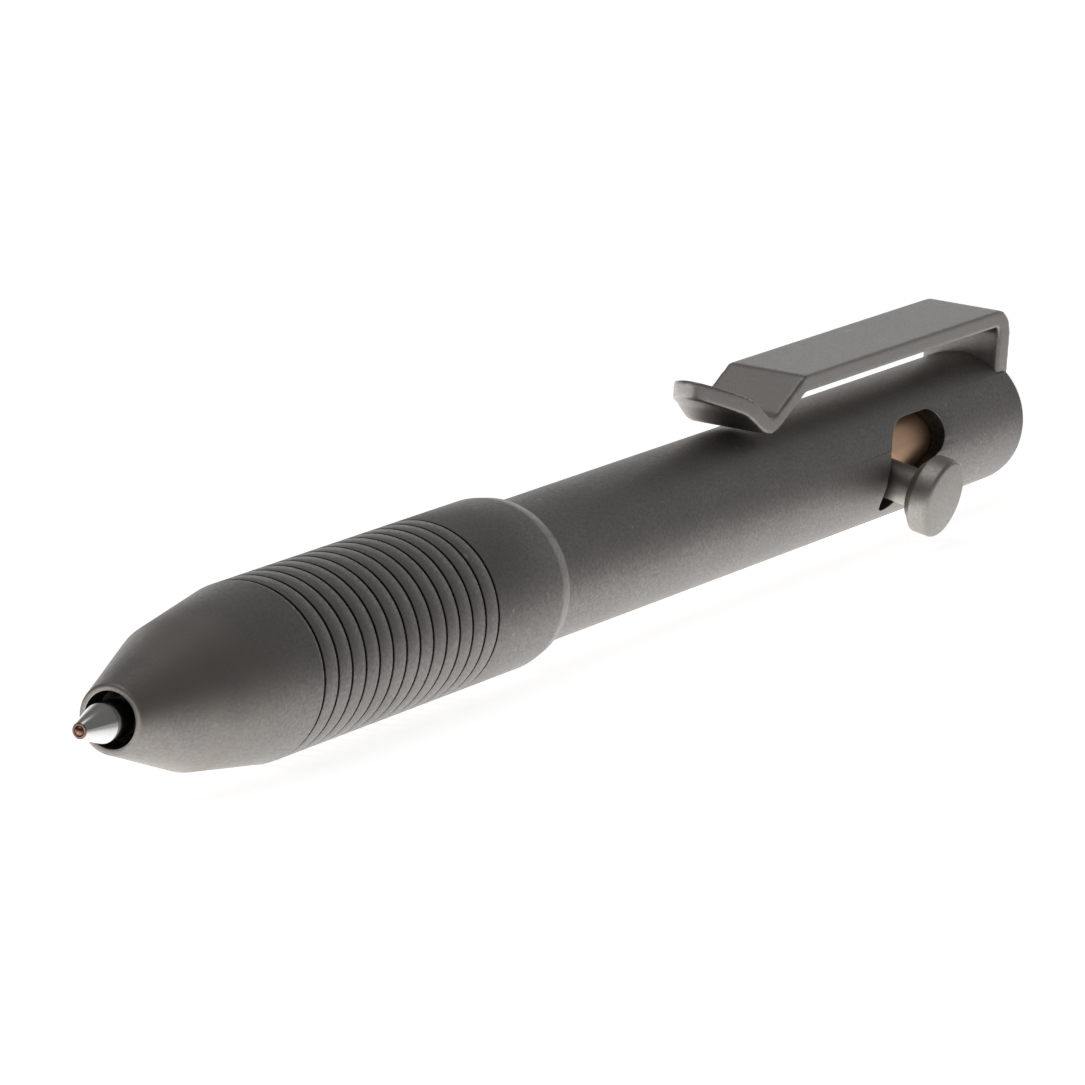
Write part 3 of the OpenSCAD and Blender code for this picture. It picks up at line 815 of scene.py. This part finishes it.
# %% Clip bent and cut to its plan
def solid_from(name, points, way):
    """Fills an outline and extrudes it by a vector."""
    piece = start_outline(name, points[0])
    draw(points)
    close_outline()
    bpy.ops.mesh.extrude_region_move(TRANSFORM_OT_translate={"value": way})
    bpy.ops.mesh.select_all(action="SELECT")
    bpy.ops.mesh.normals_make_consistent(inside=False)
    bpy.ops.object.mode_set(mode="OBJECT")
    return piece


clip_side = [place(x, h, 0, -clip_w / 2) for x, h in side_view]
clip = solid_from("bent_clip", clip_side, outward(90) * clip_w * MM)
lip_round, lip_round_steps = 6, 24
lip_centre = side_view[0].x + past + lip_round
lip_turns = [radians(90 + 180 * i / lip_round_steps) for i in range(lip_round_steps + 1)]
plan = [(lip_centre + lip_round * cos(t), clip_w / 2 * sin(t)) for t in lip_turns]
plan = [(tail_x + past, clip_w / 2)] + plan + [(tail_x + past, -clip_w / 2)]
above = clip_top + clip_t + past
plan_rise = outward(0) * (above + past) * MM
plan_solid = solid_from("clip_plan", [place(x, -past, 0, y) for x, y in plan], plan_rise)
apply_modifier(clip, "BOOLEAN", operation="INTERSECT", object=plan_solid, solver="EXACT")
bpy.data.objects.remove(plan_solid)
foot = axial_post("clip_foot", leg_x, tail_x, clip_w / 2)
apply_modifier(clip, "BOOLEAN", operation="UNION", object=foot, solver="EXACT")
bpy.data.objects.remove(foot)
clip.data.materials.clear()
clip.data.materials.append(clip_metal)

# %% Screw hole in the clip's foot
screw_head_t, screw_hole_gap = 0.9, 0.1
screw_head_r = clip_screw_r + screw_head_t
countersink = [(tail_x - screw_head_t - fit_gap, 0), (tail_x - screw_head_t - fit_gap, clip_screw_r),
               (tail_x + past, screw_head_r + fit_gap + past), (tail_x + past, 0)]
cut_away(clip, axial_post("foot_hole", leg_x - past, tail_x + past, clip_screw_r + screw_hole_gap))
cut_away(clip, turned("foot_countersink", [place(x, r) for x, r in countersink], round_steps))

# %% Rounded rims
rim_voxel, rim_passes = 0.1, 30
apply_modifier(clip, "REMESH", mode="VOXEL", voxel_size=rim_voxel * MM)
apply_modifier(clip, "SMOOTH", factor=0.5, iterations=rim_passes)
print("clip with rounded rims:", len(clip.data.polygons), "faces")
smooth(clip, 40)
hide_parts("clip")
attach(clip, "root")

# %% [markdown]
# ## The bolt's knob
#
# Stem and knob are turned in one piece, and the stem screws into the plunger.
# Its axis stands square to the pen's, so it is spun round its own line: the spin
# operator takes any centre and any axis.

# %% Knob
plunger_gap, stem_seat_depth = 0.05, 0.4
plunger_r = bore_r - plunger_gap
stem_seat_r = plunger_r - stem_seat_depth
stem_thread_r, stem_thread_len, stem_chamfer = 1.15, 4.7, 0.2
stem_end = stem_seat_r - stem_thread_len
knob_t, knob_cone, knob_under_r = 2.2, 0.7, 2.1
knob_edge, knob_edge_steps, knob_lip_width = 0.3, 6, 0.08
knob_steps = 96


def knob_outline():
    """The knob's outline as (radius round the stem, height over the pen's axis)."""
    under = knob_face_r - knob_t
    points = [(0, stem_end), (stem_thread_r - stem_chamfer, stem_end),
              (stem_thread_r, stem_end + stem_chamfer), (stem_thread_r, stem_seat_r),
              (stem_r, stem_seat_r), (stem_r, under), (knob_under_r, under), (knob_r, under + knob_cone)]
    points += arc((knob_r - knob_edge, knob_face_r - knob_edge), knob_edge, 0, 90, knob_edge_steps)
    return points + [(0, knob_face_r)]


knob = turned("turned_knob", [place(stem_x + r, h, lock_angle) for r, h in knob_outline()], knob_steps,
              axis=outward(lock_angle), centre=place(stem_x))
knob.data.materials.append(knob_metal)
knob.data.materials.append(rubbed_metal)
round_edges(knob, knob_lip_width, segments=2, sharper_than=35)
smooth(knob, 30)
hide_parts("bolt_knob")
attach(knob, "bolt")

# %% [markdown]
# ## The spring
#
# A spring is a wire's round section carried round and along at once, which is
# what the Screw modifier does. Its front end sits in the nose and its rear end
# pushes the refill's shoulder. The mesh is wound once, at the length it has with
# the refill forward.

# %% Return spring
spring_turns, spring_wire_r, spring_r, spring_gap = 7, 0.2, 2.15, 0.02
spring_front, spring_back = spring_seat + spring_gap, shoulder_x - spring_gap
wire_sides, steps_a_turn = 12, 32
deselect_all()
bpy.ops.mesh.primitive_circle_add(vertices=wire_sides, radius=spring_wire_r * MM, location=(0, 0, 0),
                                  fill_type="NGON")
spring = bpy.context.object
spring.name = "wound_spring"
rise = spring_back - spring_front - 2 * spring_wire_r
spring.data.transform(Matrix.Translation(place(spring_front + spring_wire_r, spring_r))
                      @ Matrix.Rotation(pi / 2, 4, outward(90)))
spring_steps = steps_a_turn * spring_turns
apply_modifier(spring, "SCREW", angle=2 * pi * spring_turns, screw_offset=rise * MM, axis="X",
               steps=spring_steps, render_steps=spring_steps, use_smooth_shade=True)
spring.data.materials.append(spring_steel)
smooth(spring, 40)
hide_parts("return_spring")
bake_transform(spring)

# %% [markdown]
# ## The refill's point
#
# The polished point is the first thing the eye meets. It is a cone with a
# closed-in rim that holds the ball, turned like the grip but with more steps,
# because its clean highlights would show every flat.

# %% Point
point_x, point_r, point_rim_r, point_cone_len = -3.7, 1.27, 0.5, 2.4
ball_r, ball_gap, ink_r = 0.35, 0.02, 0.3
ball_x = point_x + ball_r
# The rim reaches in front of the ball's centre by this share of its radius
rim_reach = 0.55
rim_x = ball_x - rim_reach * ball_r
neck_x, point_tail, point_tail_r = 5.6, 3.5, 1.17
seat_r, seat_steps = ball_r + ball_gap, 8
point_steps, point_lip_width, ink_and_reflection_len = 192, 0.05, 0.1


def point_outline():
    """The point's outline as (distance from the nose face, radius): outside, then the ball's seat."""
    lip = degrees(acos((ball_x - rim_x) / seat_r))
    back = 180 - degrees(asin(ink_r / seat_r))
    tail = neck_x + point_tail
    outer = [(rim_x, point_rim_r), (rim_x + point_cone_len, point_r), (neck_x, point_r),
             (neck_x, point_tail_r), (tail, point_tail_r), (tail, ink_r)]
    seat_turns = [back + (lip - back) * i / seat_steps for i in range(seat_steps + 1)]
    inner = [(ball_x - seat_r * cos(radians(t)), seat_r * sin(radians(t))) for t in seat_turns]
    return outer + inner + [outer[0]]


INK_AND_REFLECTION = 2
point = turned("turned_point", [place(x, r) for x, r in point_outline()], point_steps)
# The rounded edges take the second slot, which is the same polished steel here
for metal in (point_steel, point_steel, ink_and_reflection_steel):
    point.data.materials.append(metal)
round_edges(point, point_lip_width, segments=3, sharper_than=12)
# Faces at the rim take the dark steel, which is ink in part and a painted dark reflection in part
finish_faces(point, lambda x, radius: INK_AND_REFLECTION if x < rim_x + ink_and_reflection_len else None)
smooth(point, 20)
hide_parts("point_socket")
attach(point, "refill")

# %% [markdown]
# ## Pieces that keep their solids
#
# The rest has the right shape as it comes, so each only takes its material.

# %% Materials for the other pieces
kept_pieces = {"thread_seal": seal_rubber, "clip_screw": screw_steel, "plunger": copper,
               "point_ball": inked_ball, "refill_neck": brass, "refill_tube": tube_steel,
               "refill_crown": crown_plastic, "ink_column": ink}
for name, material in kept_pieces.items():
    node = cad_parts[name]
    node.data.materials.clear()
    node.data.materials.append(material)
print("kept:", ", ".join(kept_pieces))

# %% [markdown]
# ## Floor and light
#
# Bare metal shows its surroundings more than itself. The pen lies on a white
# table that shines up at its lower side, under a dim room, so its top stays
# dark. The floor gets part of its white from a glow that only the camera and
# mirrored rays see, which keeps the room's light low and the shadow soft.

# %% Floor
floor_size = 6.0
floor_glow = 0.8
table_white, full_white = (0.9, 0.9, 0.9, 1), (1, 1, 1, 1)
near_side_mm, near_glow = -22, 0.15
under_pen_mm, far_glow = 2, 1.35
deselect_all()
bpy.ops.mesh.primitive_plane_add(size=floor_size, location=(0, 0, -grip_r * MM))
floor = bpy.context.object
floor.name = "floor"
paper = new_material("white_table")
tree = paper.node_tree
rays = add_node(tree, "LightPath").outputs
mirrored = add_node(tree, "Math", {0: rays["Is Glossy Ray"], 1: rays["Is Transmission Ray"]},
                    operation="MAXIMUM").outputs[0]
spot_on_table = add_node(tree, "TexCoord").outputs["Object"]
sideways = add_node(tree, "SeparateXYZ", {"Vector": spot_on_table}).outputs["Y"]
beside = between(tree, sideways, near_side_mm * MM, under_pen_mm * MM, near_glow, far_glow)
mirrored_glow = add_node(tree, "Math", {0: mirrored, 1: beside}, operation="MULTIPLY").outputs[0]
seen_glow = add_node(tree, "Math", {0: rays["Is Camera Ray"], 1: floor_glow},
                     operation="MULTIPLY").outputs[0]
glow = add_node(tree, "Math", {0: seen_glow, 1: mirrored_glow}).outputs[0]
lit = add_node(tree, "BsdfDiffuse", {"Color": table_white})
shine = add_node(tree, "Emission", {"Color": full_white, "Strength": glow})
both = add_node(tree, "AddShader", {0: lit.outputs[0], 1: shine.outputs[0]})
floor.data.materials.append(finish_material(paper, both))
floor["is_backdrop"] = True

# %% Room and lamps
room_dim, backdrop_glow = 0.15, 1.15
backdrop_way = Vector((0.86, 0.51, 0))
# The backdrop fades out between two heights over the horizon, in degrees, and fades in between two
# nearnesses to its own direction
backdrop_top, backdrop_foot = 34, 6
backdrop_side, backdrop_middle = 0.45, 0.95
room = bpy.data.worlds.new("room")
bpy.context.scene.world = room
room.use_nodes = True
tree = room.node_tree
tree.nodes.clear()
way = add_node(tree, "TexCoord").outputs["Generated"]
up = add_node(tree, "SeparateXYZ", {"Vector": way}).outputs["Z"]
towards = add_node(tree, "VectorMath", {0: way, 1: backdrop_way}, operation="DOT_PRODUCT").outputs["Value"]
low = between(tree, up, sin(radians(backdrop_top)), sin(radians(backdrop_foot)))
behind = between(tree, towards, backdrop_side, backdrop_middle)
backdrop = add_node(tree, "Math", {0: low, 1: behind}, operation="MULTIPLY").outputs[0]
strength = between(tree, backdrop, 0, 1, room_dim, room_dim + backdrop_glow)
rays = add_node(tree, "LightPath").outputs
strength = add_node(tree, "Math", {0: strength, 1: rays["Is Camera Ray"]}, operation="MAXIMUM").outputs[0]
sky = add_node(tree, "Background", {"Color": full_white, "Strength": strength})
add_node(tree, "OutputWorld", {"Surface": sky.outputs[0]})


def soft_lamp(name, spot, target, size, power):
    """A round lamp aimed at a target, with its size in metres and its power in watts."""
    bpy.ops.object.light_add(type="AREA", location=spot)
    lamp = bpy.context.object
    lamp.name = name
    lamp.data.shape = "DISK"
    lamp.data.size = size
    lamp.data.energy = power
    lamp.rotation_euler = (Vector(target) - Vector(spot)).to_track_quat("-Z", "Y").to_euler()
    return lamp


soft_lamp("overhead", spot=(-0.1, 0.1, 0.9), target=(0, 0, 0), size=0.8, power=1.2)
bpy.context.scene.view_settings.view_transform = "Standard"
print("lamps and room are set")

# %% [markdown]
# ## Size
#
# Rounded edges only take metal away, so the dressed pen has to fit the frame's
# box, give or take a facet. How far each side of the box grows is printed.

# %% Size kept
shown_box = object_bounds()
cad_sides, shown_sides = (*cad_box[0], *cad_box[1]), (*shown_box[0], *shown_box[1])
print("grows by, in mm:", [round((shown - cad) / MM, 3) for cad, shown in zip(cad_sides, shown_sides)])
